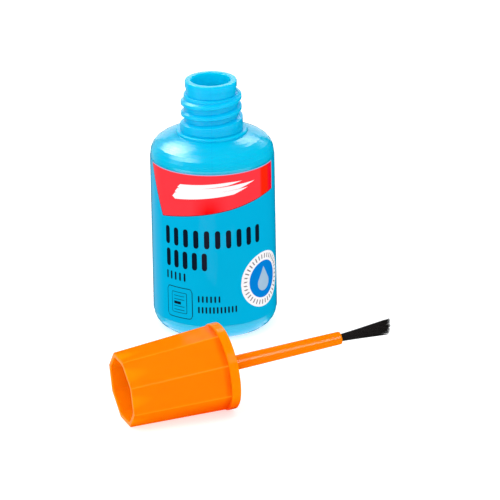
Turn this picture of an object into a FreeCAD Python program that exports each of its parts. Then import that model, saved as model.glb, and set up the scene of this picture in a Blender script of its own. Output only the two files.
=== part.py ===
import FreeCAD, Part
import math
import os

import Sketcher
from FreeCAD import Placement, Rotation, Vector

# Correction fluid bottle with its screw cap taken off.
# The bottle stands on the floor at the origin, +Z up, with the front of its label towards -Y.
# The cap lies in front of it on one of its flats and on the rim of its collar, brush stem to the right.
# Lengths are in millimetres and angles in degrees.
SIZES = {
    # bottle body
    "bottle_diameter": 30.0,
    "shoulder_top": 49.55,
    "shoulder_slope": 22.0,
    "shoulder_dome": 8.0,
    "shoulder_round": 4.0,
    "heel_round": 4.3,
    "wall": 1.0,
    "floor_thickness": 1.2,
    "push_up": 0.8,
    "push_up_run": 0.7,
    "foot_width": 1.4,
    "inner_heel_round": 3.2,
    "inner_shoulder_round": 3.0,
    # bottle neck, outwards from its bore and up from the shoulder ring to the lip
    "bore_radius": 4.79,
    "neck_wall": 1.86,
    "waist_wall": 1.31,
    "lip_wall": 1.51,
    "collar_step": 0.26,
    "ring_step": 1.05,
    "ring_rise": 0.75,
    "collar_rise": 1.3,
    "waist_rise": 1.85,
    "lip_rise": 1.6,
    "lip_round": 0.35,
    "edge_bevel": 0.2,
    # screw thread on the neck
    "thread_pitch": 2.77,
    "thread_turns": 2.75,
    "thread_top_gap": 0.13,
    "thread_depth": 0.74,
    "thread_crest_width": 0.75,
    "thread_base_width": 1.9,
    "run_out_turns": 0.62,
    "run_out_step": 0.06,
    "thread_fade_rise": 0.12,
    "thread_fade_offset": 1.6,
    # label film round the body, with bare margins to the heel and to the shoulder
    "label_margin_below": 0.1,
    "label_margin_above": 0.7,
    "label_thickness": 0.1,
    "label_gap": 0.02,
    "label_seam": 0.8,
    # cap shell, inwards from its collar
    "cap_length": 26.2,
    "cap_collar_wall": 2.6,
    "cap_collar_width": 2.25,
    "cap_step": 0.25,
    "cap_taper": 1.2,
    "cap_corner_round": 0.6,
    "cap_edge_bevel": 0.2,
    "cap_web": 1.2,
    "recess_wall": 1.15,
    "recess_draft": 0.4,
    "recess_corner_round": 2.4,
    # how the cap fits the neck
    "cap_seat_gap": 0.05,
    "collar_clearance": 0.25,
    "thread_clearance": 0.22,
    "cap_thread_turns": 1.75,
    "cap_thread_crest_width": 0.6,
    "cap_thread_base_width": 1.5,
    # brush stem with the sealing disc at its head
    "seal_thickness": 0.9,
    "seal_inset": 1.01,
    "plug_length": 1.5,
    "plug_wall": 0.9,
    "plug_clearance": 0.19,
    "plug_bevel": 0.3,
    "stem_radius": 1.78,
    "stem_taper": 0.23,
    "stem_reach": 29.1,
    "stem_tip_round": 0.35,
    "stem_tip_wall": 0.65,
    "tuft_hole_depth": 5.5,
    # brush tuft and the staple that holds it
    "tuft_clearance": 0.04,
    "tuft_reach": 12.6,
    "tuft_belly_radius": 1.2,
    "tuft_end_radius": 1.7,
    "tuft_end_slant": 14.0,
    "staple_thickness": 0.3,
    "staple_width": 1.6,
    "staple_height": 1.5,
    "staple_clearance": 0.05,
    # loose steel ball that stirs the fluid
    "ball_diameter": 4.0,
    "ball_rest_gap": 0.05,
    "ball_x": 6.0,
    "ball_y": 3.5,
    # where the cap lies
    "cap_x": 2.56,
    "cap_y": -55.23,
    "cap_yaw": 19.35,
}

doc = FreeCAD.newDocument("CorrectionFluidBottle")
sheet = doc.addObject("Spreadsheet::Sheet", "Sizes")
for row, (name, value) in enumerate(SIZES.items(), start=1):
    sheet.set(f"A{row}", name)
    sheet.set(f"B{row}", str(value))
    sheet.setAlias(f"B{row}", name)
doc.recompute()


def solved(expression):
    """The present number of a size or of an expression of sizes."""
    return float(sheet.evalExpression(expression))


# Radii and heights that follow from the driving sizes, as expressions for the features below
BODY_RADIUS = "(Sizes.bottle_diameter / 2)"
INNER_RADIUS = f"({BODY_RADIUS} - Sizes.wall)"
FOOT_RADIUS = f"({BODY_RADIUS} - Sizes.heel_round - Sizes.foot_width)"
FLOOR_TOP = "(Sizes.push_up + Sizes.floor_thickness)"
NECK_RADIUS = "(Sizes.bore_radius + Sizes.neck_wall)"
WAIST_RADIUS = "(Sizes.bore_radius + Sizes.waist_wall)"
LIP_RADIUS = "(Sizes.bore_radius + Sizes.lip_wall)"
CREST_RADIUS = f"({NECK_RADIUS} + Sizes.thread_depth)"
COLLAR_RADIUS = f"({CREST_RADIUS} + Sizes.collar_step)"
RING_RADIUS = f"({COLLAR_RADIUS} + Sizes.ring_step)"
RING_TOP = "(Sizes.shoulder_top + Sizes.ring_rise)"
COLLAR_TOP = f"({RING_TOP} + Sizes.collar_rise)"
THREADED_TOP = f"({COLLAR_TOP} + Sizes.thread_turns * Sizes.thread_pitch + Sizes.thread_top_gap)"
WAIST_TOP = f"({THREADED_TOP} + Sizes.waist_rise)"
LIP_TOP = f"({WAIST_TOP} + Sizes.lip_rise)"


def inner_slope_height(radius):
    """Height of the shoulder's straight inside at a radius, one wall below the neck's ring."""
    drop = f"({radius} - {RING_RADIUS}) * tan(Sizes.shoulder_slope)"
    return f"(Sizes.shoulder_top - {drop} - Sizes.wall / cos(Sizes.shoulder_slope))"


# the shoulder's outside is a shallow dome, steep at its rim and nearly level at the neck's ring
DOME_STEEP = "(Sizes.shoulder_slope + Sizes.shoulder_dome)"
DOME_SHALLOW = "(Sizes.shoulder_slope - Sizes.shoulder_dome)"
DOME_RIM = f"({BODY_RADIUS} - Sizes.shoulder_round * (1 - sin({DOME_STEEP})))"
DOME_RADIUS = f"(({DOME_RIM} - {RING_RADIUS}) / (sin({DOME_STEEP}) - sin({DOME_SHALLOW})))"
DOME_ACROSS = f"({RING_RADIUS} - {DOME_RADIUS} * sin({DOME_SHALLOW}))"
DOME_UP = f"(Sizes.shoulder_top - {DOME_RADIUS} * cos({DOME_SHALLOW}))"
# the rounds at the shoulder's rim start from the upright wall at these heights
WALL_TOP = f"({DOME_UP} + ({DOME_RADIUS} - Sizes.shoulder_round) * cos({DOME_STEEP}))"
INNER_TURN = "(90 - Sizes.shoulder_slope)"
INNER_WALL_TOP = (
    f"({inner_slope_height(INNER_RADIUS)} - Sizes.inner_shoulder_round * tan({INNER_TURN} / 2))"
)
# cap heights are measured from the open face of its collar
CAP_SEAT = f"({RING_TOP} + Sizes.cap_seat_gap)"
LIP_IN_CAP = f"({LIP_TOP} - {CAP_SEAT})"
BORE_DEPTH = f"({LIP_IN_CAP} + Sizes.seal_thickness)"
WEB_TOP = f"({BORE_DEPTH} + Sizes.cap_web)"
CAP_BORE_RADIUS = f"({CREST_RADIUS} + Sizes.thread_clearance)"
CAP_ENTRY_RADIUS = f"({COLLAR_RADIUS} + Sizes.collar_clearance)"
CAP_COLLAR_RADIUS = f"({CAP_ENTRY_RADIUS} + Sizes.cap_collar_wall)"
CAP_WIDE_RADIUS = f"({CAP_COLLAR_RADIUS} - Sizes.cap_step)"
CAP_NARROW_RADIUS = f"({CAP_WIDE_RADIUS} - Sizes.cap_taper)"
RECESS_MOUTH_RADIUS = f"({CAP_NARROW_RADIUS} - Sizes.recess_wall)"
RECESS_FLOOR_RADIUS = f"({RECESS_MOUTH_RADIUS} - Sizes.recess_draft)"
SEAL_RADIUS = f"({CAP_BORE_RADIUS} - Sizes.seal_inset)"
STEM_TIP_RADIUS = "(Sizes.stem_radius - Sizes.stem_taper)"
TUFT_HOLE_RADIUS = f"({STEM_TIP_RADIUS} - Sizes.stem_tip_wall)"
BUNDLE_RADIUS = f"({TUFT_HOLE_RADIUS} - Sizes.tuft_clearance)"
# a sketch drawn this far inside a wall or past a face joins or cuts it cleanly
ROOT_BITE = 0.2
CAP_SIDES = 8
TUFT_SIDES = 12


def new_body(label):
    body = doc.addObject("PartDesign::Body", label)
    body.Label = label
    return body


def origin_plane(body, role):
    return next(item for item in body.Origin.OriginFeatures if item.Role == role)


def new_sketch(body, name, role, height=None):
    """Empty sketch on one of the body's origin planes, raised by an expression where one is given."""
    sketch = body.newObject("Sketcher::SketchObject", name)
    sketch.AttachmentSupport = (origin_plane(body, role), [""])
    sketch.MapMode = "FlatFace"
    if height is not None:
        sketch.setExpression("AttachmentOffset.Base.z", height)
    return sketch


def bind(sketch, constraint, expression):
    index = sketch.addConstraint(constraint)
    sketch.setExpression(f"Constraints[{index}]", expression)


def outline(body, name, corners, role="XZ_Plane", height=None):
    """Closed outline of straight lines.

    The corners are pairs of expressions, measured from the origin. The outline is drawn as a
    regular polygon, and its constraints pull each corner to its place.
    """
    sketch = new_sketch(body, name, role, height)
    count = len(corners)
    turn = 2 * math.pi / count
    starts = [Vector(10 * math.cos(turn * i), 10 * math.sin(turn * i), 0) for i in range(count)]
    for i in range(count):
        sketch.addGeometry(Part.LineSegment(starts[i], starts[(i + 1) % count]))
    for i in range(count):
        sketch.addConstraint(Sketcher.Constraint("Coincident", i, 2, (i + 1) % count, 1))
    for i, (across, up) in enumerate(corners):
        bind(sketch, Sketcher.Constraint("DistanceX", -1, 1, i, 1, starts[i].x), across)
        bind(sketch, Sketcher.Constraint("DistanceY", -1, 1, i, 1, starts[i].y), up)
    doc.recompute()
    return sketch


def bend(across, up, radius, first, last, steps=1):
    """Round stretch of an outline about a centre, from the first angle to the last.

    It is drawn in short straight steps, which keep a turned wall light. One step is a bevel.
    """
    angles = [f"(({first}) + (({last}) - ({first})) * {i / steps:.6f})" for i in range(steps + 1)]
    return [(f"{across} + {radius} * cos({angle})", f"{up} + {radius} * sin({angle})") for angle in angles]


def discs(body, name, radii, height, centre=("0", "0")):
    """Circles round one centre on a level plane, with their radii bound to the sheet."""
    sketch = new_sketch(body, name, "XY_Plane", height)
    for radius in radii:
        index = sketch.addGeometry(Part.Circle(Vector(1, 1, 0), Vector(0, 0, 1), 5))
        bind(sketch, Sketcher.Constraint("Radius", index, 5), radius)
        bind(sketch, Sketcher.Constraint("DistanceX", -1, 1, index, 3, 1), centre[0])
        bind(sketch, Sketcher.Constraint("DistanceY", -1, 1, index, 3, 1), centre[1])
    doc.recompute()
    return sketch


def polygon(body, name, sides, radius, height):
    """Regular polygon on a level plane, with flats square to X and Y."""
    angles = [360 / sides * (i + 0.5) for i in range(sides)]
    corners = [(f"{radius} * cos({angle})", f"{radius} * sin({angle})") for angle in angles]
    return outline(body, name, corners, "XY_Plane", height)


def turned(body, kind, name, sketch):
    """Revolution or Groove of a sketch round the Z axis."""
    feature = body.newObject(f"PartDesign::{kind}", name)
    feature.Profile = sketch
    feature.ReferenceAxis = (sketch, ["V_Axis"])
    feature.Angle = 360
    doc.recompute()
    return feature


def helical(body, name, section, turns):
    """Right-hand helical ridge swept from a section on the -X side."""
    ridge = body.newObject("PartDesign::AdditiveHelix", name)
    ridge.Profile = section
    ridge.ReferenceAxis = (section, ["V_Axis"])
    ridge.Mode = "pitch-turns-angle"
    ridge.setExpression("Pitch", "Sizes.thread_pitch")
    ridge.setExpression("Turns", turns)
    ridge.LeftHanded = False
    doc.recompute()
    return ridge


def cut_through(body, name, corners):
    """Cut an outline on the XZ plane right through the body, and see that it took something away."""
    before = body.Shape.Volume
    section = outline(body, f"{name}Section", corners)
    cut = body.newObject("PartDesign::Pocket", name)
    cut.Profile = section
    cut.Type = "ThroughAll"
    cut.Midplane = True
    doc.recompute()
    if cut.Shape.Volume >= before:
        raise RuntimeError(f"{name} cut nothing")


def break_edges(body, kind, name, edges, expression):
    """Fillet or Chamfer on the named edges of the body's present tip."""
    if not edges:
        raise RuntimeError(f"no edge was found for {name}")
    feature = body.newObject(f"PartDesign::{kind}", name)
    feature.Base = (feature.BaseFeature, edges)
    feature.setExpression("Radius" if kind == "Fillet" else "Size", expression)
    doc.recompute()
    return feature


def upright_edges(shape, low, high, least_radius, most_radius):
    """Names of the straight edges that run between two heights within a band of radii."""
    found = []
    for number, edge in enumerate(shape.Edges, start=1):
        ends = sorted(edge.Vertexes, key=lambda vertex: vertex.Z)
        if len(ends) < 2 or abs(ends[0].Z - low) > 0.01 or abs(ends[-1].Z - high) > 0.01:
            continue
        radii = [math.hypot(vertex.X, vertex.Y) for vertex in ends]
        if min(radii) > least_radius and max(radii) < most_radius:
            found.append(f"Edge{number}")
    return found


def trapezoid(root, crest, height, base_width, crest_width):
    """Section of a thread ridge on the -X side, from its root radius to its crest radius."""
    return [
        (f"-({root})", f"{height} - {base_width} / 2"),
        (f"-({crest})", f"{height} - {crest_width} / 2"),
        (f"-({crest})", f"{height} + {crest_width} / 2"),
        (f"-({root})", f"{height} + {base_width} / 2"),
    ]


def make_bottle():
    """Blow-moulded bottle: one wall turned round the axis, then the thread on its neck."""
    body = new_body("bottle")
    bevel = "Sizes.edge_bevel"
    outside = [
        ("0", "Sizes.push_up"),
        (f"{FOOT_RADIUS} - Sizes.push_up_run", "Sizes.push_up"),
        (FOOT_RADIUS, "0"),
        *bend(f"{BODY_RADIUS} - Sizes.heel_round", "Sizes.heel_round", "Sizes.heel_round", -90, 0, steps=6),
        *bend(
            f"{BODY_RADIUS} - Sizes.shoulder_round", WALL_TOP, "Sizes.shoulder_round",
            0, f"90 - {DOME_STEEP}", steps=4,
        ),
        *bend(
            DOME_ACROSS, DOME_UP, DOME_RADIUS, f"90 - {DOME_STEEP}", f"90 - {DOME_SHALLOW}", steps=4,
        )[1:],
        *bend(f"{RING_RADIUS} - {bevel}", f"{RING_TOP} - {bevel}", bevel, 0, 90),
        (COLLAR_RADIUS, RING_TOP),
        (COLLAR_RADIUS, COLLAR_TOP),
        (NECK_RADIUS, COLLAR_TOP),
        *bend(f"{NECK_RADIUS} - {bevel}", f"{THREADED_TOP} - {bevel}", bevel, 0, 90),
        (WAIST_RADIUS, THREADED_TOP),
        (WAIST_RADIUS, WAIST_TOP),
        (LIP_RADIUS, WAIST_TOP),
        *bend(
            f"{LIP_RADIUS} - Sizes.lip_round", f"{LIP_TOP} - Sizes.lip_round", "Sizes.lip_round",
            0, 90, steps=2,
        ),
    ]
    inside = [
        *bend(f"Sizes.bore_radius + {bevel}", f"{LIP_TOP} - {bevel}", bevel, 90, 180),
        ("Sizes.bore_radius", inner_slope_height("Sizes.bore_radius")),
        *bend(
            f"{INNER_RADIUS} - Sizes.inner_shoulder_round", INNER_WALL_TOP,
            "Sizes.inner_shoulder_round", INNER_TURN, 0, steps=3,
        ),
        *bend(
            f"{INNER_RADIUS} - Sizes.inner_heel_round", f"{FLOOR_TOP} + Sizes.inner_heel_round",
            "Sizes.inner_heel_round", 0, -90, steps=4,
        ),
        ("0", FLOOR_TOP),
    ]
    turned(body, "Revolution", "TurnedWall", outline(body, "WallSection", outside + inside))

    fill_run_out(body)
    ridge = trapezoid(
        f"{NECK_RADIUS} - {ROOT_BITE}", CREST_RADIUS, COLLAR_TOP,
        "Sizes.thread_base_width", "Sizes.thread_crest_width",
    )
    helical(body, "NeckThread", outline(body, "ThreadSection", ridge), "Sizes.thread_turns")
    fade_thread_start(body)
    return body


def fade_thread_start(body):
    """Cut the top end of the thread along an eccentric circle, so that it rises out of the neck.

    The circle just clears the root of the neck where the thread ends, and is outside the
    crest a sixth of a turn on.
    """
    end = f"({COLLAR_TOP} + Sizes.thread_turns * Sizes.thread_pitch)"
    below = f"({end} - Sizes.thread_pitch / 2)"
    near = f"({NECK_RADIUS} + Sizes.thread_fade_rise + Sizes.thread_fade_offset)"
    end_angle = "180 + 360 * Sizes.thread_turns"
    centre = [f"-Sizes.thread_fade_offset * {turn}({end_angle})" for turn in ("cos", "sin")]
    before = body.Shape.Volume
    ring = discs(body, "FadeRing", [near, f"{near} * 1.6"], below, centre)
    cut = body.newObject("PartDesign::Pocket", "ThreadFade")
    cut.Profile = ring
    cut.Reversed = True
    cut.setExpression("Length", "Sizes.thread_pitch")
    doc.recompute()
    if cut.Shape.Volume >= before:
        raise RuntimeError("the thread's start was not cut")


def fill_run_out(body):
    """Fill the groove under the last turn, where the thread runs into the neck's base collar."""
    crest = f"({COLLAR_RADIUS} - Sizes.run_out_step)"
    root = f"({NECK_RADIUS} - {ROOT_BITE})"
    foot = f"{COLLAR_TOP} - Sizes.run_out_turns * Sizes.thread_pitch - {ROOT_BITE}"
    corners = [
        (f"-{root}", foot),
        (f"-{crest}", foot),
        (f"-{crest}", f"{COLLAR_TOP} + Sizes.thread_crest_width / 2 + Sizes.run_out_step"),
        (f"-{root}", f"{COLLAR_TOP} + Sizes.thread_base_width / 2 + Sizes.run_out_step"),
    ]
    before = body.Shape.Volume
    helical(body, "RunOut", outline(body, "RunOutSection", corners), "Sizes.run_out_turns")
    if body.Shape.Volume <= before:
        raise RuntimeError("the thread's run-out was not filled")


def make_label():
    """Printed film wrapped round the straight wall, with its seam at the back."""
    body = new_body("label")
    inside = f"{BODY_RADIUS} + Sizes.label_gap"
    outside = f"{inside} + Sizes.label_thickness"
    bottom = "Sizes.heel_round + Sizes.label_margin_below"
    top = f"{WALL_TOP} - Sizes.label_margin_above"
    corners = [(inside, bottom), (outside, bottom), (outside, top), (inside, top)]
    film = turned(body, "Revolution", "Film", outline(body, "FilmSection", corners))
    film.Midplane = True
    film.setExpression("Angle", f"360 - Sizes.label_seam / {BODY_RADIUS} * 180 / pi")
    body.Placement = Placement(Vector(), Rotation(Vector(0, 0, 1), -90))
    return body


def make_cap():
    """Moulded screw cap: a tapering eight-sided shell on a round collar, open at both ends.

    A web closes it across the middle. The neck's side is bored and threaded, and the other
    side is a recess that follows the shell.
    """
    body = new_body("cap")
    bevel = "Sizes.cap_edge_bevel"
    rim = f"{CAP_COLLAR_RADIUS} - {bevel}"
    collar = outline(body, "CollarSection", [
        ("0", "0"),
        *bend(rim, bevel, bevel, -90, 0),
        *bend(rim, f"Sizes.cap_collar_width - {bevel}", bevel, 0, 90),
        ("0", "Sizes.cap_collar_width"),
    ])
    turned(body, "Revolution", "Collar", collar)
    shell = body.newObject("PartDesign::AdditiveLoft", "Shell")
    shell.Profile = polygon(body, "ShellFoot", CAP_SIDES, CAP_WIDE_RADIUS, "Sizes.cap_collar_width")
    shell.Sections = [polygon(body, "ShellEnd", CAP_SIDES, CAP_NARROW_RADIUS, "Sizes.cap_length")]
    doc.recompute()
    recess = body.newObject("PartDesign::SubtractiveLoft", "Recess")
    recess.Profile = polygon(body, "RecessFloor", CAP_SIDES, RECESS_FLOOR_RADIUS, WEB_TOP)
    recess.Sections = [polygon(body, "RecessMouth", CAP_SIDES, RECESS_MOUTH_RADIUS, "Sizes.cap_length")]
    doc.recompute()

    length = solved("Sizes.cap_length")
    between = solved(f"{RECESS_MOUTH_RADIUS} + Sizes.recess_wall / 2")
    beyond = solved(CAP_COLLAR_RADIUS)
    inner = upright_edges(recess.Shape, solved(WEB_TOP), length, 1, between)
    tip = break_edges(body, "Fillet", "RecessCorners", inner, "Sizes.recess_corner_round")
    outer = upright_edges(tip.Shape, solved("Sizes.cap_collar_width"), length, between, beyond)
    tip = break_edges(body, "Fillet", "ShellCorners", outer, "Sizes.cap_corner_round")
    end_edges = [
        f"Edge{number}" for number, edge in enumerate(tip.Shape.Edges, start=1)
        if edge.BoundBox.ZMin > length - 0.01 and edge.BoundBox.DiagonalLength > 0
    ]
    break_edges(body, "Chamfer", "ShellRim", end_edges, bevel)

    run_out_rise = "Sizes.run_out_turns * Sizes.thread_pitch"
    entry_depth = f"({COLLAR_TOP} - {CAP_SEAT} + {run_out_rise} + Sizes.thread_clearance)"
    bore = outline(body, "BoreSection", [
        ("0", "0"),
        (CAP_ENTRY_RADIUS, "0"),
        (CAP_ENTRY_RADIUS, entry_depth),
        (CAP_BORE_RADIUS, entry_depth),
        (CAP_BORE_RADIUS, BORE_DEPTH),
        ("0", BORE_DEPTH),
    ])
    before = body.Shape.Volume
    cut = turned(body, "Groove", "Bore", bore)
    if cut.Shape.Volume >= before:
        raise RuntimeError("the cap was not bored")
    start = f"({COLLAR_TOP} - {CAP_SEAT} + 1.5 * Sizes.thread_pitch)"
    ridge = trapezoid(
        f"{CAP_BORE_RADIUS} + {ROOT_BITE}", f"{NECK_RADIUS} + Sizes.thread_clearance", start,
        "Sizes.cap_thread_base_width", "Sizes.cap_thread_crest_width",
    )
    helical(body, "CapThread", outline(body, "CapThreadSection", ridge), "Sizes.cap_thread_turns")
    return body


def make_stem():
    """Brush stem turned in one with the sealing disc and the plug that enters the neck."""
    body = new_body("stem")
    plug_outside = "(Sizes.bore_radius - Sizes.plug_clearance)"
    plug_inside = f"({plug_outside} - Sizes.plug_wall)"
    plug_end = f"({LIP_IN_CAP} - Sizes.plug_length)"
    plug_lead_in = bend(
        f"{plug_outside} - Sizes.plug_bevel", f"{plug_end} + Sizes.plug_bevel", "Sizes.plug_bevel",
        0, -90,
    )
    tip_round = bend(
        f"{STEM_TIP_RADIUS} - Sizes.stem_tip_round", "Sizes.stem_tip_round - Sizes.stem_reach",
        "Sizes.stem_tip_round", 0, -90, steps=2,
    )
    hole_floor = "Sizes.tuft_hole_depth - Sizes.stem_reach"
    section = outline(body, "StemSection", [
        ("0", BORE_DEPTH),
        (SEAL_RADIUS, BORE_DEPTH),
        (SEAL_RADIUS, LIP_IN_CAP),
        (plug_outside, LIP_IN_CAP),
        *plug_lead_in,
        (plug_inside, plug_end),
        (plug_inside, LIP_IN_CAP),
        ("Sizes.stem_radius", LIP_IN_CAP),
        ("Sizes.stem_radius", "0"),
        *tip_round,
        (TUFT_HOLE_RADIUS, "-Sizes.stem_reach"),
        (TUFT_HOLE_RADIUS, hole_floor),
        ("0", hole_floor),
    ])
    turned(body, "Revolution", "TurnedStem", section)
    return body


def make_tuft():
    """Bristle bundle: straight in the stem's hole, then flaring to a slanted end."""
    body = new_body("brush_tuft")
    root = "(Sizes.tuft_hole_depth - Sizes.stem_reach - Sizes.tuft_clearance)"
    mouth = "-Sizes.stem_reach"
    end = f"({mouth} - Sizes.tuft_reach)"
    slant_drop = "Sizes.tuft_end_radius * tan(Sizes.tuft_end_slant)"
    stations = {
        "BundleMouth": (BUNDLE_RADIUS, mouth),
        "Throat": (f"({BUNDLE_RADIUS} + Sizes.tuft_belly_radius) / 2", f"{mouth} - Sizes.tuft_reach / 5"),
        "Belly": ("Sizes.tuft_belly_radius", f"{mouth} - Sizes.tuft_reach / 2"),
        "TuftEnd": ("Sizes.tuft_end_radius", f"{end} - {slant_drop}"),
    }
    bundle = body.newObject("PartDesign::AdditiveLoft", "Bundle")
    bundle.Ruled = True
    bundle.Profile = polygon(body, "BundleRoot", TUFT_SIDES, BUNDLE_RADIUS, root)
    bundle.Sections = [
        polygon(body, name, TUFT_SIDES, radius, height) for name, (radius, height) in stations.items()
    ]
    doc.recompute()
    cut_through(body, "SlantedEnd", [
        ("-2 * Sizes.tuft_end_radius", f"{end} + 2 * {slant_drop}"),
        ("-2 * Sizes.tuft_end_radius", f"{end} - 4 * {slant_drop}"),
        ("2 * Sizes.tuft_end_radius", f"{end} - 4 * {slant_drop}"),
        ("2 * Sizes.tuft_end_radius", f"{end} - 2 * {slant_drop}"),
    ])
    slot_half = "(Sizes.staple_thickness / 2 + Sizes.staple_clearance)"
    slot_floor = f"{root} - Sizes.staple_height - 2 * Sizes.staple_clearance"
    cut_through(body, "StapleSlot", [
        (f"-{slot_half}", slot_floor),
        (slot_half, slot_floor),
        (slot_half, f"{root} + {ROOT_BITE}"),
        (f"-{slot_half}", f"{root} + {ROOT_BITE}"),
    ])
    return body


def make_staple():
    """Flat metal staple that the bristles are folded over, at the bottom of the stem's hole."""
    staple = doc.addObject("Part::Box", "tuft_anchor")
    staple.Label = "tuft_anchor"
    staple.setExpression("Length", "Sizes.staple_thickness")
    staple.setExpression("Width", "Sizes.staple_width")
    staple.setExpression("Height", "Sizes.staple_height")
    return staple


def make_ball():
    """Steel ball lying on the bottle's inner floor."""
    ball = doc.addObject("Part::Sphere", "mixing_ball")
    ball.Label = "mixing_ball"
    ball.setExpression("Radius", "Sizes.ball_diameter / 2")
    ball.setExpression("Placement.Base.x", "Sizes.ball_x")
    ball.setExpression("Placement.Base.y", "Sizes.ball_y")
    ball.setExpression("Placement.Base.z", f"{FLOOR_TOP} + Sizes.ball_rest_gap + Sizes.ball_diameter / 2")
    return ball


def lying_placement():
    """Where the cap comes to rest: one flat of its narrow end and the rim of its collar touch the floor."""
    bevel = solved("Sizes.cap_edge_bevel")
    run = solved("Sizes.cap_length - Sizes.cap_collar_width")
    flat_share = math.cos(math.pi / CAP_SIDES)
    narrow_flat = solved(CAP_NARROW_RADIUS) * flat_share
    taper = solved("Sizes.cap_taper") * flat_share / run
    rim_radius = solved(CAP_COLLAR_RADIUS)
    tilt = math.atan2(rim_radius - narrow_flat - bevel * taper, run)
    rim_back = solved("Sizes.cap_collar_width") - bevel
    lift = rim_radius * math.cos(tilt) + rim_back * math.sin(tilt)
    yaw = Rotation(Vector(0, 0, 1), solved("Sizes.cap_yaw"))
    lay_down = Rotation(Vector(0, 1, 0), -90 - math.degrees(tilt))
    return Placement(Vector(solved("Sizes.cap_x"), solved("Sizes.cap_y"), lift), yaw.multiply(lay_down))


bottle = make_bottle()
label = make_label()
cap = make_cap()
stem = make_stem()
tuft = make_tuft()
staple = make_staple()
ball = make_ball()

lying = lying_placement()
for piece in (cap, stem, tuft):
    piece.Placement = lying
staple_foot = solved(
    "Sizes.tuft_hole_depth - Sizes.stem_reach - Sizes.tuft_clearance - Sizes.staple_clearance"
    " - Sizes.staple_height"
)
staple_corner = Vector(solved("-Sizes.staple_thickness / 2"), solved("-Sizes.staple_width / 2"), staple_foot)
staple.Placement = lying.multiply(Placement(staple_corner, Rotation()))
doc.recompute()

for item in doc.Objects:
    if "Invalid" in item.State or "Error" in item.State:
        raise RuntimeError(f"{item.Name} failed to build: {item.State}")

os.makedirs("parts", exist_ok=True)
for piece in (bottle, label, cap, stem, tuft, staple, ball):
    if piece.Shape.isNull() or not piece.Shape.isValid() or len(piece.Shape.Solids) != 1:
        raise RuntimeError(f"{piece.Label} is not one valid solid")
    piece.Shape.exportStep(f"parts/{piece.Label}.step")
    print(f"{piece.Label}: {piece.Shape.Volume:.2f} mm3, {len(piece.Shape.Faces)} faces")
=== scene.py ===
import math
import random

import bmesh
import bpy
import numpy as np
from mathutils import Matrix, Vector


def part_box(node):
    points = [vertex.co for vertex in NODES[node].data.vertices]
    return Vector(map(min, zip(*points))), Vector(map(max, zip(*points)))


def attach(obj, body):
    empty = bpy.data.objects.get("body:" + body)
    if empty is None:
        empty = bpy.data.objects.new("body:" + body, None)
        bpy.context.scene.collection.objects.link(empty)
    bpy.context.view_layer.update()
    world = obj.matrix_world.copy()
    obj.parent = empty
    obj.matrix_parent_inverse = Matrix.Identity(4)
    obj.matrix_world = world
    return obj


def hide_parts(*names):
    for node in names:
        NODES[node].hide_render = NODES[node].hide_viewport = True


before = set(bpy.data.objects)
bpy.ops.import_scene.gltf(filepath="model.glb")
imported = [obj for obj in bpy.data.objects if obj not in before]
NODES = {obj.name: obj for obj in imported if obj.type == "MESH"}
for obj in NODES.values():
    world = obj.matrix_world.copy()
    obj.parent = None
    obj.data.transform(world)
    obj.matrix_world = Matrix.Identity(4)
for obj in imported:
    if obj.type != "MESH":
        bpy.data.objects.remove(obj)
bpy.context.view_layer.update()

# A correction fluid bottle with its cap taken off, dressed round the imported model.
# The bottle stands at the origin with its label's front towards -Y. The cap lies in front of it.
# Lengths are in metres, and MM turns a length in millimetres into metres.
MM = 0.001
BODY = "root"
UP = Vector((0, 0, 1))
WHITE = (1, 1, 1, 1)

# Camera: where the photograph was taken from, worked out from the bottle's circles and edges
CAMERA_TARGET = Vector((8.744, 0, 18.316)) * MM
CAMERA_DISTANCE = 1500 * MM
CAMERA_ELEVATION = math.radians(21.17)
CAMERA_ROLL = math.radians(1.057)
CAMERA_LENS = 442.0
CAMERA_SENSOR = 36.0
CAMERA_FARTHEST = 10.0


def make_camera():
    """Camera at the photograph's angle, looking a little down at the bottle from the front."""
    sine, cosine = math.sin(CAMERA_ELEVATION), math.cos(CAMERA_ELEVATION)
    back = Vector((0, -cosine, sine))
    right = Vector((1, 0, 0))
    up = Vector((0, sine, cosine))
    across = math.cos(CAMERA_ROLL) * right - math.sin(CAMERA_ROLL) * up
    over = math.sin(CAMERA_ROLL) * right + math.cos(CAMERA_ROLL) * up
    data = bpy.data.cameras.new("camera")
    data.lens = CAMERA_LENS
    data.sensor_width = CAMERA_SENSOR
    data.clip_end = CAMERA_FARTHEST
    camera = bpy.data.objects.new("camera", data)
    turn = Matrix((across, over, back)).transposed()
    camera.matrix_world = Matrix.Translation(CAMERA_TARGET + back * CAMERA_DISTANCE) @ turn.to_4x4()
    bpy.context.scene.collection.objects.link(camera)
    bpy.context.scene.camera = camera


def add_piece(name, mesh, material):
    """New object in the scene from a mesh under construction, with one material."""
    data = bpy.data.meshes.new(name)
    mesh.to_mesh(data)
    mesh.free()
    data.materials.append(material)
    piece = bpy.data.objects.new(name, data)
    bpy.context.scene.collection.objects.link(piece)
    return piece


# Vertices this near to the farthest one from the tuft's anchor lie on the stem's head
HEAD_FACE = 0.05 * MM


def stem_line():
    """Centre of the stem's head, the stem's direction, and how far its tip is from the head."""
    anchor = np.array([v.co for v in NODES["tuft_anchor"].data.vertices]).mean(axis=0)
    stem = np.array([v.co for v in NODES["stem"].data.vertices])
    away = np.linalg.norm(stem - anchor, axis=1)
    head = stem[away > away.max() - HEAD_FACE].mean(axis=0)
    along = (anchor - head) / np.linalg.norm(anchor - head)
    reach = ((stem - head) @ along).max()
    return Vector(head), Vector(along), float(reach)


def square_to(along):
    """Two directions square to a lying axis: level to its side, and up from it."""
    side = along.cross(UP).normalized()
    return side, side.cross(along)


# Node trees and colours


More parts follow.
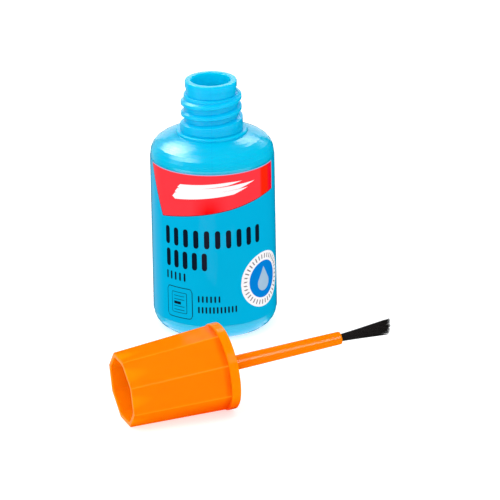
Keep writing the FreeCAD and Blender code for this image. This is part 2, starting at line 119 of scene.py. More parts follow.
def screen_colour(red, green, blue):
    """Linear colour from screen values of 0 to 255."""
    def linear(value):
        share = value / 255
        return share / 12.92 if share <= 0.04045 else ((share + 0.055) / 1.055) ** 2.4
    return (linear(red), linear(green), linear(blue), 1)


class NodeTree:
    """A node tree, with short calls for the nodes that the world and the materials share."""

    def __init__(self, tree):
        self.nodes = tree.nodes
        self.links = tree.links

    def join(self, source, target):
        """Link from a node's output to another's input."""
        self.links.new(source, target)

    def axes(self, place):
        """The X, Y and Z of a place."""
        node = self.nodes.new("ShaderNodeSeparateXYZ")
        self.join(place, node.inputs["Vector"])
        return [node.outputs[name] for name in "XYZ"]

    def spread(self, value, low, high, at_low=0.0, at_high=1.0):
        """A value's stretch from low to high, mapped on another stretch and held at its ends."""
        node = self.nodes.new("ShaderNodeMapRange")
        names = ("From Min", "From Max", "To Min", "To Max")
        for name, number in zip(names, (low, high, at_low, at_high)):
            node.inputs[name].default_value = number
        self.join(value, node.inputs["Value"])
        return node.outputs["Result"]

    def maths(self, operation, first, second=None):
        """Result of a maths operation on one or two values, which are outputs or plain numbers."""
        node = self.nodes.new("ShaderNodeMath")
        node.operation = operation
        for socket, value in zip(node.inputs, (first, second)):
            if isinstance(value, (int, float)):
                socket.default_value = value
            elif value is not None:
                self.join(value, socket)
        return node.outputs["Value"]

    def times(self, first, second):
        """Product of two values."""
        return self.maths("MULTIPLY", first, second)

    def squares(self, first, second):
        """Sum of two values' squares."""
        return self.maths("ADD", self.times(first, first), self.times(second, second))


# Most of a noise's values lie between these two
NOISE_LOW, NOISE_HIGH = 0.3, 0.7


class Shader(NodeTree):
    """A new material, with short calls for what the materials below need."""

    def __init__(self, name):
        self.material = bpy.data.materials.new(name)
        self.material.use_nodes = True
        super().__init__(self.material.node_tree)
        self.surface = self.nodes["Principled BSDF"]
        self.place = self.nodes.new("ShaderNodeTexCoord").outputs["Object"]

    def set(self, **values):
        """Plain values on the surface's own sockets."""
        for name, value in values.items():
            self.surface.inputs[name.replace("_", " ")].default_value = value

    def drive(self, name, value):
        """An output that drives one of the surface's sockets."""
        self.join(value, self.surface.inputs[name])

    def noise(self, scale, detail=3.0, stretch=(1, 1, 1)):
        """Noise of about so many blotches a metre, between 0 and 1."""
        mapping = self.nodes.new("ShaderNodeMapping")
        mapping.inputs["Scale"].default_value = stretch
        self.join(self.place, mapping.inputs["Vector"])
        texture = self.nodes.new("ShaderNodeTexNoise")
        texture.inputs["Scale"].default_value = scale
        texture.inputs["Detail"].default_value = detail
        self.join(mapping.outputs["Vector"], texture.inputs["Vector"])
        return texture.outputs["Fac"]

    def uneven(self, scale, low, high, stretch=(1, 1, 1)):
        """A value that wanders between low and high over the surface."""
        return self.spread(self.noise(scale, stretch=stretch), NOISE_LOW, NOISE_HIGH, low, high)

    def reach(self, start, along):
        """How far the place on the object lies from a start along a direction, in metres."""
        away = self.nodes.new("ShaderNodeVectorMath")
        away.operation = "SUBTRACT"
        self.join(self.place, away.inputs[0])
        away.inputs[1].default_value = start
        product = self.nodes.new("ShaderNodeVectorMath")
        product.operation = "DOT_PRODUCT"
        self.join(away.outputs["Vector"], product.inputs[0])
        product.inputs[1].default_value = along
        return product.outputs["Value"]

    def mix(self, share, first, second):
        """Colour between two, which are colours or outputs, by a share of the second."""
        node = self.nodes.new("ShaderNodeMix")
        node.data_type = "RGBA"
        self.join(share, node.inputs["Factor"])
        for name, value in (("A", first), ("B", second)):
            socket = next(s for s in node.inputs if s.name == name and s.type == "RGBA")
            if isinstance(value, tuple):
                socket.default_value = value
            else:
                self.join(value, socket)
        return next(s for s in node.outputs if s.type == "RGBA")

    def bump(self, scale, distance):
        """Broad, shallow waves in the surface."""
        node = self.nodes.new("ShaderNodeBump")
        node.inputs["Distance"].default_value = distance
        self.join(self.noise(scale, detail=1), node.inputs["Height"])
        self.drive("Normal", node.outputs["Normal"])


# Bottle. Each pair is where a change of its finish starts and ends: across the mould's parting line,
# on the radius of the mouth's inside, on the height of the mouth's glow, and where the neck begins.
PARTING_LINE = (0.04 * MM, 0.12 * MM)
MOUTH_INSIDE = (4.82 * MM, 4.86 * MM)
MOUTH_GLOW = (48 * MM, 52 * MM)
NECK_START = (48.5 * MM, 49.5 * MM)
BODY_ROUGHNESS, NECK_ROUGHNESS, FINE_ROUGHNESS = 0.16, 0.22, 0.025
NECK_TINT = (0.18, 0.18, 0.18, 1)


def bottle_plastic():
    """Glossy light blue blow-moulded plastic, with the mould's parting line at front and back."""
    shader = Shader("bottle_plastic")
    colour = shader.mix(shader.noise(180), screen_colour(0, 186, 230), screen_colour(0, 190, 233))
    across, deep, high = shader.axes(shader.place)
    line = shader.spread(shader.maths("ABSOLUTE", across), *PARTING_LINE, 1, 0)
    colour = shader.mix(line, colour, screen_colour(0, 180, 228))
    # The mouth's inside is painted paler: a painted glow for the light that comes through its wall from
    # all round
    squared = [radius ** 2 for radius in MOUTH_INSIDE]
    within = shader.spread(shader.squares(across, deep), *squared, 1, 0)
    mouth = shader.times(within, shader.spread(high, *MOUTH_GLOW))
    shader.drive("Base Color", shader.mix(mouth, colour, screen_colour(0, 212, 249)))
    # The injected neck is duller than the blown wall
    roughness = shader.spread(high, *NECK_START, BODY_ROUGHNESS, NECK_ROUGHNESS)
    fine = shader.uneven(700, -FINE_ROUGHNESS, FINE_ROUGHNESS)
    shader.drive("Roughness", shader.maths("ADD", roughness, fine))
    shader.drive("Specular Tint", shader.mix(shader.spread(high, *NECK_START), WHITE, NECK_TINT))
    shader.bump(120, 0.03 * MM)
    shader.set(Specular_IOR_Level=0.5, Subsurface_Weight=0.6, Subsurface_Scale=3 * MM)
    shader.set(Subsurface_Radius=(0.3, 0.8, 1.0))
    return shader.material


# Print and film mirror little. Their gloss would otherwise wash out the deep colours.
INK_ROUGHNESS, INK_UNEVEN = 0.08, 0.03
INK_SPECULAR = 0.12


def ink(name, colour, shade):
    """Glossy film in one ink, a little uneven as such prints are."""
    shader = Shader(name)
    shader.drive("Base Color", shader.mix(shader.noise(260, detail=4), colour, shade))
    roughness = shader.uneven(1400, INK_ROUGHNESS - INK_UNEVEN, INK_ROUGHNESS + INK_UNEVEN)
    shader.drive("Roughness", roughness)
    shader.bump(90, 0.01 * MM)
    shader.set(Specular_IOR_Level=INK_SPECULAR)
    return shader.material


ORANGE_ROUGHNESS = (0.1, 0.14)


def orange_plastic(name):
    """Shader and colour of semi-gloss orange moulded plastic that glows a little where it is thin."""
    shader = Shader(name)
    flow = shader.noise(160, detail=2, stretch=(0.4, 1, 1))
    colour = shader.mix(flow, screen_colour(243, 123, 0), screen_colour(245, 127, 1))
    shader.drive("Base Color", colour)
    shader.drive("Roughness", shader.uneven(1100, *ORANGE_ROUGHNESS))
    shader.bump(140, 0.004 * MM)
    shader.set(Specular_IOR_Level=0.12, Subsurface_Weight=0.5, Subsurface_Scale=2.5 * MM)
    shader.set(Subsurface_Radius=(1.0, 0.35, 0.1))
    return shader, colour


# Cap. Depths are counted from its open rim, heights and radii from its axis, and angles off a corner in
# radians. Each pair is where a change of its tone starts and ends, or the tone's shares there.
COLLAR_DEPTH = 2.25 * MM
COLLAR_EDGE = 0.1 * MM
COLLAR_SHADE_END = (COLLAR_DEPTH + 0.7 * MM, COLLAR_DEPTH + 1.7 * MM)
LOWEST_FLAT = (-4.2 * MM, -8.5 * MM)
LOWEST_DEPTH, LOWEST_SHADE_SHARE = (26 * MM, 3 * MM), (0.15, 0.9)
HOLLOW_RADIUS = (8.6 * MM, 8.4 * MM)
HOLLOW_DEPTH = (10 * MM, 11 * MM)
CAP_FLATS = 8
CORNER_HALF = (0.01, 0.03)
CORNER_HIGHLIGHT_SHARE = 0.5


def cap_plastic():
    """The orange plastic, painted lighter on the collar, with painted shade round the shell's foot and
    on the lowest flat, a painted glow in the hollow at the narrow end and painted highlights along the
    corners."""
    shader, colour = orange_plastic("cap_plastic")
    head, along, _ = stem_line()
    side, up = square_to(along)
    rim = max((vertex.co - head).dot(along) for vertex in NODES["cap"].data.vertices)
    depth = shader.maths("SUBTRACT", rim, shader.reach(head, along))
    sideways, upwards = shader.reach(head, side), shader.reach(head, up)

    past_collar = shader.spread(depth, COLLAR_DEPTH, COLLAR_DEPTH + COLLAR_EDGE)
    # Painted shade: the shell is painted deeper just past the collar, where the two meet
    collar_shade = shader.times(past_collar, shader.spread(depth, *COLLAR_SHADE_END, 1, 0))
    colour = shader.mix(collar_shade, colour, screen_colour(238, 104, 0))
    # Painted light: the collar is painted a little lighter than the shell
    collar = shader.spread(depth, COLLAR_DEPTH - COLLAR_EDGE, COLLAR_DEPTH, 1, 0)
    colour = shader.mix(collar, colour, screen_colour(247, 134, 0))
    # Painted shade: the lowest flat, which faces down, is painted deeper in tone, most of all towards
    # the collar
    deeper = shader.spread(depth, *LOWEST_DEPTH, *LOWEST_SHADE_SHARE)
    lowest = shader.times(shader.spread(upwards, *LOWEST_FLAT), deeper)
    colour = shader.mix(lowest, colour, screen_colour(243, 74, 0))
    # Painted glow: the hollow behind the web is painted paler, for the light that comes through the
    # shell
    squared = [radius ** 2 for radius in HOLLOW_RADIUS]
    inside = shader.spread(shader.squares(sideways, upwards), *squared)
    hollow = shader.times(inside, shader.spread(depth, *HOLLOW_DEPTH))
    colour = shader.mix(hollow, colour, screen_colour(251, 140, 2))
    # Painted highlight: thin lighter lines along the corners of the flats
    # The angle is counted from the middle of a flat, and a corner lies half a side further on
    flat = 2 * math.pi / CAP_FLATS
    turn = shader.maths("ADD", shader.maths("ARCTAN2", sideways, upwards), 2 * math.pi)
    off_corner = shader.maths("SUBTRACT", shader.maths("MODULO", turn, flat), flat / 2)
    corner = shader.spread(shader.maths("ABSOLUTE", off_corner), *CORNER_HALF, CORNER_HIGHLIGHT_SHARE, 0)
    colour = shader.mix(shader.times(corner, past_collar), colour, screen_colour(252, 148, 22))
    shader.drive("Base Color", colour)
    return shader.material


def stem_plastic():
    """The orange plastic as it is."""
    shader, _ = orange_plastic("stem_plastic")
    return shader.material


def bristle_nylon():
    """Black nylon filament, with a faint gloss along each bristle."""
    shader = Shader("bristle")
    colour = shader.mix(shader.noise(3000), screen_colour(26, 24, 26), screen_colour(46, 42, 41))
    shader.drive("Base Color", colour)
    shader.set(Roughness=0.42, Specular_IOR_Level=0.35)
    return shader.material


def metal(name, colour, roughness):
    """Bright steel with fine scratches."""
    shader = Shader(name)
    scratches = shader.uneven(2500, roughness - 0.05, roughness + 0.1, stretch=(1, 1, 8))
    shader.drive("Roughness", scratches)
    shader.drive("Base Color", shader.mix(shader.noise(800), colour, screen_colour(190, 192, 196)))
    shader.set(Metallic=1.0)
    return shader.material


LABEL_BLUE = screen_colour(0, 172, 216)
LABEL_SHADE = screen_colour(0, 169, 214)

# Edges with a wider angle between their faces stay crisp
SHARP_EDGE = math.radians(28)


def dress_nodes():
    """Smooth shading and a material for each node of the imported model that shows."""
    finishes = {
        "bottle": bottle_plastic(),
        "label": ink("label_film", LABEL_BLUE, LABEL_SHADE),
        "cap": cap_plastic(),
        "stem": stem_plastic(),
        "tuft_anchor": metal("staple_metal", screen_colour(205, 205, 208), 0.35),
        "mixing_ball": metal("ball_steel", screen_colour(200, 202, 206), 0.2),
    }
    for name, material in finishes.items():
        node = NODES[name]
        node.data.materials.clear()
        node.data.materials.append(material)
        node.data.shade_smooth()
        soften = node.modifiers.new("soft_edges", "EDGE_SPLIT")
        soften.split_angle = SHARP_EDGE


# Print on the label. A place on it is (across, up) in millimetres: across is the way round the film
# from the middle of the front towards the right, and up is the height above the floor. A patch of
# print follows the film in columns of at most PRINT_STEP, and each layer is LAYER thick.

_, LABEL_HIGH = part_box("label")
FILM_RADIUS = LABEL_HIGH.x / MM
FILM_TOP = LABEL_HIGH.z / MM
LAYER = 0.012
PRINT_STEP = 0.4
LEAST_HALF_HEIGHT = 0.01
SAME_PLACE = 1e-6
SAME_COLUMN = 1e-4


def round_film(degrees):
    """Way round the film for an angle from the front."""
    return math.radians(degrees) * FILM_RADIUS


def columns_of(shape):
    """A convex shape on the film as (across, low, high) columns from left to right."""
    left = min(across for across, _ in shape)
    right = max(across for across, _ in shape)
    count = max(1, math.ceil((right - left) / PRINT_STEP))
    stations = [left + (right - left) * i / count for i in range(count + 1)]
    # A corner that lies well between two stations gets a column of its own
    corners = [
        across for across, _ in shape
        if min(abs(across - station) for station in stations) > PRINT_STEP / 4
    ]
    columns = []
    for station in sorted(stations + corners):
        heights = [up for across, up in shape if abs(across - station) < SAME_PLACE]
        for (a, low), (b, high) in zip(shape, shape[1:] + shape[:1]):
            if min(a, b) < station < max(a, b):
                heights.append(low + (high - low) * (station - a) / (b - a))
        middle = (min(heights) + max(heights)) / 2
        half = max((max(heights) - min(heights)) / 2, LEAST_HALF_HEIGHT)
        columns.append((station, middle - half, middle + half))
    return [
        column for i, column in enumerate(columns)
        if i in (0, len(columns) - 1) or column[0] - columns[i - 1][0] > SAME_COLUMN
    ]


def add_patch(mesh, shape, layer):
    """Thin closed patch of print on the label, proud of the film by its layer.

    Each column of it has three points on its front and three on its back.
    """
    rings = []
    for across, low, high in columns_of(shape):
        turn = across / FILM_RADIUS
        ring = []
        for radius in (FILM_RADIUS + LAYER * layer, FILM_RADIUS - LAYER):
            x, y = radius * math.sin(turn) * MM, -radius * math.cos(turn) * MM
            ring.append([mesh.verts.new((x, y, up * MM)) for up in (low, (low + high) / 2, high)])
        rings.append(ring)
    for (front, back), (next_front, next_back) in zip(rings, rings[1:]):
        for i in range(2):
            mesh.faces.new((front[i], next_front[i], next_front[i + 1], front[i + 1]))
            mesh.faces.new((back[i], back[i + 1], next_back[i + 1], next_back[i]))
        mesh.faces.new((front[0], back[0], next_back[0], next_front[0]))
        mesh.faces.new((front[2], next_front[2], next_back[2], back[2]))
    for front, back in (rings[0], rings[-1]):
        for i in range(2):
            mesh.faces.new((front[i], front[i + 1], back[i + 1], back[i]))


def print_shapes(name, shapes, material, layer):
    """One piece of print in one ink, from convex shapes on the film."""
    mesh = bmesh.new()
    for shape in shapes:
        add_patch(mesh, shape, layer)
    bmesh.ops.recalc_face_normals(mesh, faces=mesh.faces)
    piece = add_piece(name, mesh, material)
    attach(piece, BODY)


def on_circle(across, up, radius, turn):
    """Place on a circle, at an angle from the right and upwards."""
    return across + radius * math.cos(turn), up + radius * math.sin(turn)


def disc(across, up, radius, points=48):
    """Circle as a shape of many corners."""
    return [on_circle(across, up, radius, 2 * math.pi * k / points) for k in range(points)]


def rounded(left, low, right, high, radius, points=5):
    """Rectangle with rounded corners."""
    corners = (
        (right - radius, high - radius), (left + radius, high - radius),
        (left + radius, low + radius), (right - radius, low + radius),
    )
    return [
        on_circle(across, up, radius, math.pi / 2 * (quarter + k / (points - 1)))
        for quarter, (across, up) in enumerate(corners)
        for k in range(points)
    ]


def stroke(start, end, width):
    """Straight bar from one place to another, with square ends."""
    (a, b), (c, d) = start, end
    length = math.hypot(c - a, d - b)
    across, up = -(d - b) / length * width / 2, (c - a) / length * width / 2
    return [(a + across, b + up), (a - across, b - up), (c - across, d - up), (c + across, d + up)]


# Share of a bar's half width that its ends are rounded by
BAR_ROUNDNESS = 0.95


def bars(rows):
    """Rows of plain upright bars with rounded ends, evenly spread.

    A row is its first and last angle, its low and high side, how many bars it has, and their width.
    """
    shapes = []
    for first, last, low, high, count, width in rows:
        left, right = round_film(first), round_film(last)
        pitch = (right - left - width) / (count - 1)
        for i in range(count):
            start = left + pitch * i
            shapes.append(rounded(start, low, start + width, high, width / 2 * BAR_ROUNDNESS))
    return shapes


# Red field: its lower edge as (angle, up), the dark line along it, and the pale strip above it along
# the film's top, which is a painted highlight on the film's edge
RED_LOWER_EDGE = [
    (-72.1, 43.5), (-53.0, 31.4), (-33.9, 32.4), (-14.5, 33.2), (-2.1, 33.7),
    (16.6, 34.5), (36.4, 35.5), (55.7, 36.3), (70.0, 36.5),
]
EDGE_LINE = 0.2
RIM_HIGHLIGHT = 0.22

# Red ink: the deep spot's middle, its half width, and the heights where it starts and is deepest.
# A streak starts at an angle and turns to its colour within a blur on both sides.
DEEP_MIDDLE = math.radians(-3)
DEEP_HALF_WIDTH = (0.05, 0.3)
DEEP_HEIGHT = (39 * MM, 34 * MM)
RED_STREAKS = [(50, screen_colour(244, 36, 8)), (62, screen_colour(240, 10, 44))]
STREAK_BLUR = 1.5


def red_ink():
    """The red ink, deeper low in the middle, with an orange-red and a crimson streak on the right."""
    shader = Shader("red_ink")
    noise = shader.noise(260, detail=4)
    colour = shader.mix(noise, screen_colour(246, 57, 67), screen_colour(248, 51, 61))
    across, deep, high = shader.axes(shader.place)
    turn = shader.maths("ARCTAN2", across, shader.times(deep, -1))
    off_middle = shader.maths("ABSOLUTE", shader.maths("SUBTRACT", turn, DEEP_MIDDLE))
    middle = shader.spread(off_middle, *DEEP_HALF_WIDTH, 1, 0)
    spot = shader.times(middle, shader.spread(high, *DEEP_HEIGHT))
    colour = shader.mix(spot, colour, screen_colour(246, 4, 14))
    for start, streak in RED_STREAKS:
        blur = math.radians(start - STREAK_BLUR), math.radians(start + STREAK_BLUR)
        colour = shader.mix(shader.spread(turn, *blur), colour, streak)
    shader.drive("Base Color", colour)
    shader.set(Roughness=INK_ROUGHNESS, Specular_IOR_Level=INK_SPECULAR)
    return shader.material


def red_shapes(grow):
    """The red field, cut into convex shapes along its lower edge, which may be grown a little."""
    lower = [(round_film(angle), up - grow) for angle, up in RED_LOWER_EDGE]
    lower[:2] = [(across - grow, up) for across, up in lower[:2]]
    return [
        [(a, low), (b, high), (b, FILM_TOP), (a, FILM_TOP)]
        for (a, low), (b, high) in zip(lower, lower[1:])
    ]


# White brush stroke in the red field: the outlines of its three streaks as (angle, up)
WHITE_STREAKS = [
    [(-40, 37.3), (-37, 36.7), (20, 38.3), (34, 39.6), (20, 39.4), (-37, 38.3)],
    [(-37, 38.6), (-34, 38.2), (26, 39.6), (42, 40.8), (26, 40.7), (-34, 39.6)],
    [(-34, 39.9), (-31, 39.5), (14, 40.7), (28, 41.5), (14, 41.5), (-31, 40.7)],
]


def print_red_field(inks):
    """The red field with its edge line, a painted highlight along the film's top and the white brush
    stroke.
    """
    print_shapes("red_edge", red_shapes(EDGE_LINE), inks["edge_ink"], 1)
    print_shapes("red_field", red_shapes(0), red_ink(), 2)
    left, right = (round_film(RED_LOWER_EDGE[end][0]) for end in (0, -1))
    # The film's top edge gets a pale strip, a painted highlight
    low = FILM_TOP - RIM_HIGHLIGHT
    rim = [(left, low), (right, low), (right, FILM_TOP), (left, FILM_TOP)]
    print_shapes("film_rim_highlight", [rim], inks["rim_highlight"], 3)
    streaks = [[(round_film(angle), up) for angle, up in streak] for streak in WHITE_STREAKS]
    print_shapes("white_stroke", streaks, inks["white_ink"], 3)


# Rows of bars: first and last angle, low and high side, how many, and how wide
BOLD_ROWS = [(-49.5, 46.8, 24.5, 29.2, 10, 1.3), (-49, -6.5, 18.8, 23.4, 5, 1.3)]
SMALL_ROWS = [
    (-49.2, -27.7, 15.5, 17.65, 5, 0.5),
    (-15.8, 5, 10.5, 12.3, 6, 0.42),
    (-15.8, 20.7, 7.7, 9.5, 11, 0.42),
]

# Frame round a ruled sheet: its first and last angle, its low and high side, how far the sheet lies
# inside it, and how far each thin line of the sheet lies under the sheet's top
FRAME_ANGLES = (-49, -21)
FRAME_LOW, FRAME_HIGH = 5.8, 13.8
FRAME_ROUNDING, FRAME_WIDTH = 1.0, 0.2
SHEET_ASIDE, SHEET_ABOVE = 1.5, 1.3
SHEET_ROUNDING, PAPER_ROUNDING, SHEET_WIDTH = 0.3, 0.2, 0.14
RULED_DROPS = (1.0, 1.9, 3.7, 4.6)
RULED_MARGIN = 0.7
BAR_DROP, BAR_MARGIN, BAR_WIDTH = 2.8, 1.7, 0.7


def inset(left, low, right, high, aside, above):
    """A rectangle's sides, moved inwards at its two ends and at its low and high side."""
    return left + aside, low + above, right - aside, high - above


def print_sheet(inks):
    """Rounded square with a ruled sheet in it, one of its lines being a short, broad bar."""
    navy, blue = inks["navy_ink"], inks["film_blue"]
    outside = round_film(FRAME_ANGLES[0]), FRAME_LOW, round_film(FRAME_ANGLES[1]), FRAME_HIGH
    inside = inset(*outside, FRAME_WIDTH, FRAME_WIDTH)
    print_shapes("frame_line", [rounded(*outside, FRAME_ROUNDING)], navy, 1)
    print_shapes("frame_inside", [rounded(*inside, FRAME_ROUNDING - FRAME_WIDTH)], blue, 2)
    sheet = inset(*outside, SHEET_ASIDE, SHEET_ABOVE)
    print_shapes("sheet", [rounded(*sheet, SHEET_ROUNDING)], navy, 3)
    paper = rounded(*inset(*sheet, SHEET_WIDTH, SHEET_WIDTH), PAPER_ROUNDING)
    print_shapes("sheet_inside", [paper], blue, 4)
    left, _, right, top = sheet
    lines = [(drop, RULED_MARGIN, SHEET_WIDTH) for drop in RULED_DROPS]
    lines.append((BAR_DROP, BAR_MARGIN, BAR_WIDTH))
    ruled = [
        stroke((left + RULED_MARGIN, top - drop), (right - margin, top - drop), width)
        for drop, margin, width in lines
    ]
    print_shapes("sheet_lines", ruled, navy, 5)


# Roundel: its middle as (angle, up), and the radii of its white disc, its blue middle, its ring of
# ticks and the round part of its drop
ROUNDEL_ANGLE, ROUNDEL_UP = 51.9, 14.45
ROUNDEL_RADIUS = 7.05
MIDDLE_RADIUS = 4.72
TICKS, TICK_START, TICK_END, TICK_WIDTH = 36, 5.3, 6.45, 0.3
DROP_RADIUS, DROP_FALL, DROP_POINT = 2.1, 0.9, 3.3
DROP_ARC = range(160, 381, 10)


def print_roundel(inks):
    """White roundel with a ring of ticks and a pale drop on a blue middle."""
    across, up = round_film(ROUNDEL_ANGLE), ROUNDEL_UP
    print_shapes("roundel", [disc(across, up, ROUNDEL_RADIUS)], inks["white_ink"], 1)
    print_shapes("roundel_middle", [disc(across, up, MIDDLE_RADIUS)], inks["royal_ink"], 2)
    ticks = []
    for k in range(TICKS):
        turn = 2 * math.pi * (k + 0.5) / TICKS
        ends = [on_circle(across, up, radius, turn) for radius in (TICK_START, TICK_END)]
        ticks.append(stroke(*ends, TICK_WIDTH))
    print_shapes("roundel_ticks", ticks, inks["grey_ink"], 2)
    drop = [on_circle(across, up - DROP_FALL, DROP_RADIUS, math.radians(t)) for t in DROP_ARC]
    drop.append((across, up + DROP_POINT))
    print_shapes("roundel_drop", [drop], inks["pale_ink"], 3)


# Colour and shade of each plain ink
INKS = {
    # The rim ink is a painted highlight along the film's top edge
    "rim_highlight": ((160, 178, 218), (150, 172, 214)),
    "edge_ink": ((96, 34, 56), (88, 30, 52)),
    "navy_ink": ((12, 26, 42), (8, 20, 36)),
    "white_ink": ((242, 242, 244), (239, 239, 242)),
    "grey_ink": ((128, 124, 132), (112, 108, 118)),
    "royal_ink": ((0, 127, 212), (0, 122, 208)),
    "pale_ink": ((164, 192, 214), (150, 184, 210)),
}


def print_label():
    """All print on the label: plain fields, bars, a framed sheet and a roundel, with no words."""
    inks = {
        name: ink(name, screen_colour(*colour), screen_colour(*shade))
        for name, (colour, shade) in INKS.items()
    }
    inks["film_blue"] = ink("film_blue", LABEL_BLUE, LABEL_SHADE)
    print_red_field(inks)
    print_shapes("bold_rows", bars(BOLD_ROWS), inks["navy_ink"], 1)
    print_shapes("small_rows", bars(SMALL_ROWS), inks["navy_ink"], 1)
    print_sheet(inks)
    print_roundel(inks)


# Brush tuft of single bristles. Its bundle starts inside the stem's hole and spreads to an oval. The
# bristles' ends draw together in locks, one in the middle and the others in a ring.
BRISTLES = 190
BRISTLE_RADIUS = 0.065 * MM
BRISTLE_SIDES = 5
BRISTLE_STEPS = 9
THIN_SHARE, POINT_SHARE = 0.8, 0.35
ROOT_DEPTH = 1.0 * MM
BUNDLE_RADIUS = 0.8 * MM
TUFT_REACH = 12.4 * MM
TUFT_HALF_WIDTH = 2.1 * MM
TUFT_HALF_DEPTH = 1.25 * MM
TUFT_SLANT = 0.4 * MM
LENGTH_SHARES = (0.985, 1.0)
FLARE = 1.25
LOCKS = 7
LOCK_RING = 0.66
LOCK_PULL = (0.08, 0.3)
TUFT_SEED = 7
GOLDEN_TURN = math.pi * (3 - math.sqrt(5))


def tube(mesh, points, radii, sides):
    """Closed thin tube along points, in a mesh."""
    rings = []
    last = len(points) - 1
    for i, (point, radius) in enumerate(zip(points, radii)):
        along = (points[min(i + 1, last)] - points[max(i - 1, 0)]).normalized()
        side = along.orthogonal().normalized()
        over = along.cross(side)
        turns = [2 * math.pi * k / sides for k in range(sides)]
        rings.append([
            mesh.verts.new(point + radius * math.cos(turn) * side + radius * math.sin(turn) * over)
            for turn in turns
        ])
    for ring, following in zip(rings, rings[1:]):
        for k in range(sides):
            after = (k + 1) % sides
            mesh.faces.new((ring[k], ring[after], following[after], following[k]))
    mesh.faces.new(list(reversed(rings[0])))
    mesh.faces.new(rings[-1])


def make_tuft():
    """Brush tuft of single bristles, which spread from the stem's hole to a ragged, slanted tip."""
    head, along, reach = stem_line()
    tip = head + along * reach
    side, up = square_to(along)
    draw = random.Random(TUFT_SEED)
    locks = [on_circle(0, 0, LOCK_RING, 2 * math.pi * (k + 0.5) / LOCKS) for k in range(LOCKS)]
    locks.append((0, 0))
    radii = [BRISTLE_RADIUS] * (BRISTLE_STEPS - 2)
    radii += [BRISTLE_RADIUS * THIN_SHARE, BRISTLE_RADIUS * POINT_SHARE]
    mesh = bmesh.new()
    for k in range(BRISTLES):
        # Bristles fill the bundle evenly, and each end is drawn to the nearest lock
        across, over = on_circle(0, 0, math.sqrt((k + 0.5) / BRISTLES), k * GOLDEN_TURN)
        lock = min(locks, key=lambda spot: (spot[0] - across) ** 2 + (spot[1] - over) ** 2)
        pull = draw.uniform(*LOCK_PULL)
        end_across = across + (lock[0] - across) * pull
        end_over = over + (lock[1] - over) * pull
        length = TUFT_REACH * draw.uniform(*LENGTH_SHARES) + TUFT_SLANT * end_over
        points = []
        for step in range(BRISTLE_STEPS):
            share = step / (BRISTLE_STEPS - 1)
            flare = share ** FLARE
            flat = BUNDLE_RADIUS + (TUFT_HALF_DEPTH - BUNDLE_RADIUS) * flare
            wide = BUNDLE_RADIUS + (TUFT_HALF_WIDTH - BUNDLE_RADIUS) * flare
            sideways = (across + (end_across - across) * flare) * flat
            upwards = (over + (end_over - over) * flare) * wide
            out = (length + ROOT_DEPTH) * share - ROOT_DEPTH
            points.append(tip + along * out + side * sideways + up * upwards)
        tube(mesh, points, radii, BRISTLE_SIDES)
    bristles = add_piece("bristles", mesh, bristle_nylon())
    bristles.data.shade_smooth()
    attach(bristles, BODY)
    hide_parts("brush_tuft")


# Studio. Lamps and cards stand round the bottle and face its upper half.
LIGHT_TARGET = Vector((0, 0, 45)) * MM
LIGHT_DISTANCE = 0.6

# Soft lamps that the shoulder mirrors as one comet-shaped highlight: name, azimuth and elevation in
# degrees, diameter, radiance, and the cone in degrees outside which it gives no light
SHOULDER_LAMPS = [
    ("left_lamp", -118, 48.5, 0.46, 12, 42),
    ("left_lamp_back", -140, 45.5, 0.46, 12, 42),
    ("left_lamp_front", -74, 52, 0.6, 8, 53),
]

# Lights for the whole scene, which show in no gloss: name, azimuth, elevation, side, radiance and
# distance
ROOM_LIGHTS = [
    ("overhead", 0, 90, 2.4, 0.4, 1.6),
    ("key", -30, 50, 0.6, 1.8, 1.0),
]

# Oval card close under the bottle, which mirrors it as a pale floor
UNDER_CARD = {"azimuth": 0, "elevation": -75, "size": (1.35, 1.2), "radiance": 1.3, "distance": 0.31}

# Cards that one node alone mirrors: name, azimuth, elevation, width, height and radiance
BOTTLE_CARDS = [
    ("left_card", -80, 34, 0.31, 0.19, 2.0),
    ("front_card", -55, 50, 0.15, 0.52, 1.7),
    ("front_edge_card", -37, 50, 0.1, 0.5, 1.0),
    ("low_card", -71, 10, 0.28, 0.25, 1.0),
    ("right_lamp", 159.5, 35.5, 0.15, 0.24, 2.6),
    ("right_lamp_top", 159.5, 39.5, 0.145, 0.17, 3.2),
    ("right_card", 142, 22, 0.15, 0.21, 0.8),
    ("back_card", 180, 6, 0.44, 0.34, 1.1),
    ("lip_card", 178, 24, 0.2, 0.12, 1.4),
    ("neck_left", -56.5, -19, 0.37, 0.1, 1.5),
    ("neck_right", 56.5, -19, 0.37, 0.1, 0.4),
]
STEM_CARDS = [
    ("stem_strip", 36, 28.5, 0.3, 0.35, 14),
]
CAP_CARDS = [
    ("cap_strip", 34, 34, 0.3, 0.24, 2.0),
    ("collar_strip", 178, 52, 0.14, 0.14, 4.5),
]


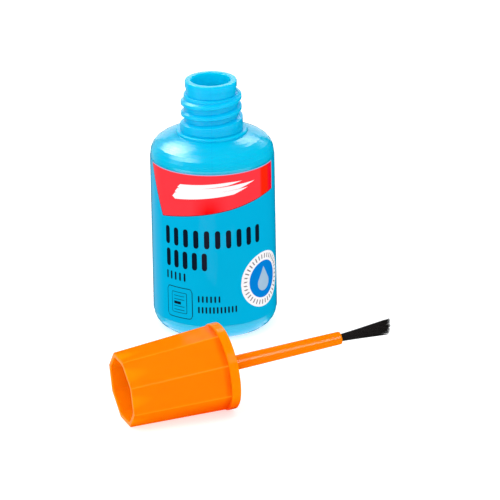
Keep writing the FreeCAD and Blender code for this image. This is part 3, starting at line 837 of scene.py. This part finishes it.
def softbox(
    name, azimuth, elevation, size, radiance,
    distance=LIGHT_DISTANCE, shape="RECTANGLE", cone=180, seen_on=None,
):
    """Area light that faces the bottle, at an azimuth from the front to the right and an elevation.

    With a node named, it only shows in that node's gloss, and otherwise it lights all without
    showing in gloss. A cone below 180 degrees makes it fade towards its edge.
    """
    turn, rise = math.radians(azimuth), math.radians(elevation)
    toward = Vector((math.cos(rise) * math.sin(turn), -math.cos(rise) * math.cos(turn), math.sin(rise)))
    width, height = size
    area = width * height * (math.pi / 4 if shape == "ELLIPSE" else 1)
    # A narrow cone is brighter in its middle for the same energy, and the widest leaves it as it is
    half_cone = math.radians(cone) / 2
    gain = math.tan(half_cone) / (math.tan(half_cone) - half_cone)
    data = bpy.data.lights.new(name, "AREA")
    data.shape = shape
    data.size, data.size_y = width, height
    data.spread = 2 * half_cone
    data.energy = radiance * math.pi * area / gain
    light = bpy.data.objects.new(name, data)
    light.location = LIGHT_TARGET + toward * distance
    light.rotation_mode = "QUATERNION"
    light.rotation_quaternion = toward.to_track_quat("Z", "Y")
    light.visible_diffuse = seen_on is None
    light.visible_glossy = seen_on is not None
    light.visible_transmission = False
    light.visible_camera = False
    bpy.context.scene.collection.objects.link(light)
    if seen_on:
        takers = bpy.data.collections.new(f"{name}_takers")
        takers.objects.link(NODES[seen_on])
        light.light_linking.receiver_collection = takers


def hang_cards(node, cards):
    """Cards round the bottle that one node alone mirrors."""
    for name, azimuth, elevation, width, height, radiance in cards:
        softbox(name, azimuth, elevation, (width, height), radiance, seen_on=node)


def make_lights():
    """Two plain lights for all, and the lamps and cards that the bottle, stem and cap mirror."""
    for name, azimuth, elevation, side, radiance, distance in ROOM_LIGHTS:
        softbox(name, azimuth, elevation, (side, side), radiance, distance=distance)
    for name, azimuth, elevation, across, radiance, cone in SHOULDER_LAMPS:
        size = (across, across)
        softbox(name, azimuth, elevation, size, radiance, shape="ELLIPSE", cone=cone, seen_on="bottle")
    hang_cards("bottle", BOTTLE_CARDS)
    softbox("under_card", shape="ELLIPSE", seen_on="bottle", **UNDER_CARD)
    hang_cards("stem", STEM_CARDS)
    hang_cards("cap", CAP_CARDS)


# World: its strength as a light, and where on its left and back it grows paler in gloss
WORLD_LIGHT = 0.9
PALE_LEFT = (-0.2, -0.45)
PALE_BACK = (0.3, 0.75)
PALE_MOST = 0.65


def make_world():
    """White surroundings. In gloss they are dark but for a paler back left."""
    world = bpy.data.worlds.new("studio")
    bpy.context.scene.world = world
    world.use_nodes = True
    world.cycles.sampling_method = "NONE"
    tree = NodeTree(world.node_tree)
    path = tree.nodes.new("ShaderNodeLightPath").outputs
    plain = tree.nodes["Background"]
    plain.inputs["Color"].default_value = WHITE
    tree.join(tree.spread(path["Is Camera Ray"], 0, 1, WORLD_LIGHT, 1), plain.inputs["Strength"])
    across, deep, _ = tree.axes(tree.nodes.new("ShaderNodeTexCoord").outputs["Generated"])
    left = tree.spread(across, *PALE_LEFT)
    back = tree.spread(deep, *PALE_BACK, 0, PALE_MOST)
    gloss = tree.nodes.new("ShaderNodeBackground")
    tree.join(tree.times(left, back), gloss.inputs["Strength"])
    both = tree.nodes.new("ShaderNodeMixShader")
    tree.join(path["Is Glossy Ray"], both.inputs["Fac"])
    tree.join(plain.outputs["Background"], both.inputs[1])
    tree.join(gloss.outputs["Background"], both.inputs[2])
    tree.join(both.outputs["Shader"], tree.nodes["World Output"].inputs["Surface"])


# Floor: its two tones, half its side, how far it lies under the bottle's foot, and its own glow
FLOOR_TONES = (0.6, 0.6, 0.6, 1), (0.61, 0.61, 0.61, 1)
FLOOR_HALF = 4.0
FLOOR_DROP = 0.02 * MM
FLOOR_GLOW = 0.62


def make_floor():
    """Plain pale floor, which glows a little so that it stays as white as the surroundings."""
    shader = Shader("pale_floor")
    shader.drive("Base Color", shader.mix(shader.noise(3), *FLOOR_TONES))
    shader.set(Roughness=0.9, Specular_IOR_Level=0.0)
    shader.set(Emission_Color=WHITE, Emission_Strength=FLOOR_GLOW)
    shader.material.cycles.emission_sampling = "NONE"
    mesh = bmesh.new()
    bmesh.ops.create_grid(mesh, x_segments=8, y_segments=8, size=FLOOR_HALF)
    floor = add_piece("floor", mesh, shader.material)
    floor.location.z = -FLOOR_DROP
    floor.visible_glossy = False
    floor.visible_shadow = False


bpy.context.scene.view_settings.view_transform = "Standard"
make_camera()
make_world()
make_lights()
make_floor()
dress_nodes()
print_label()
make_tuft()

bpy.context.view_layer.update()
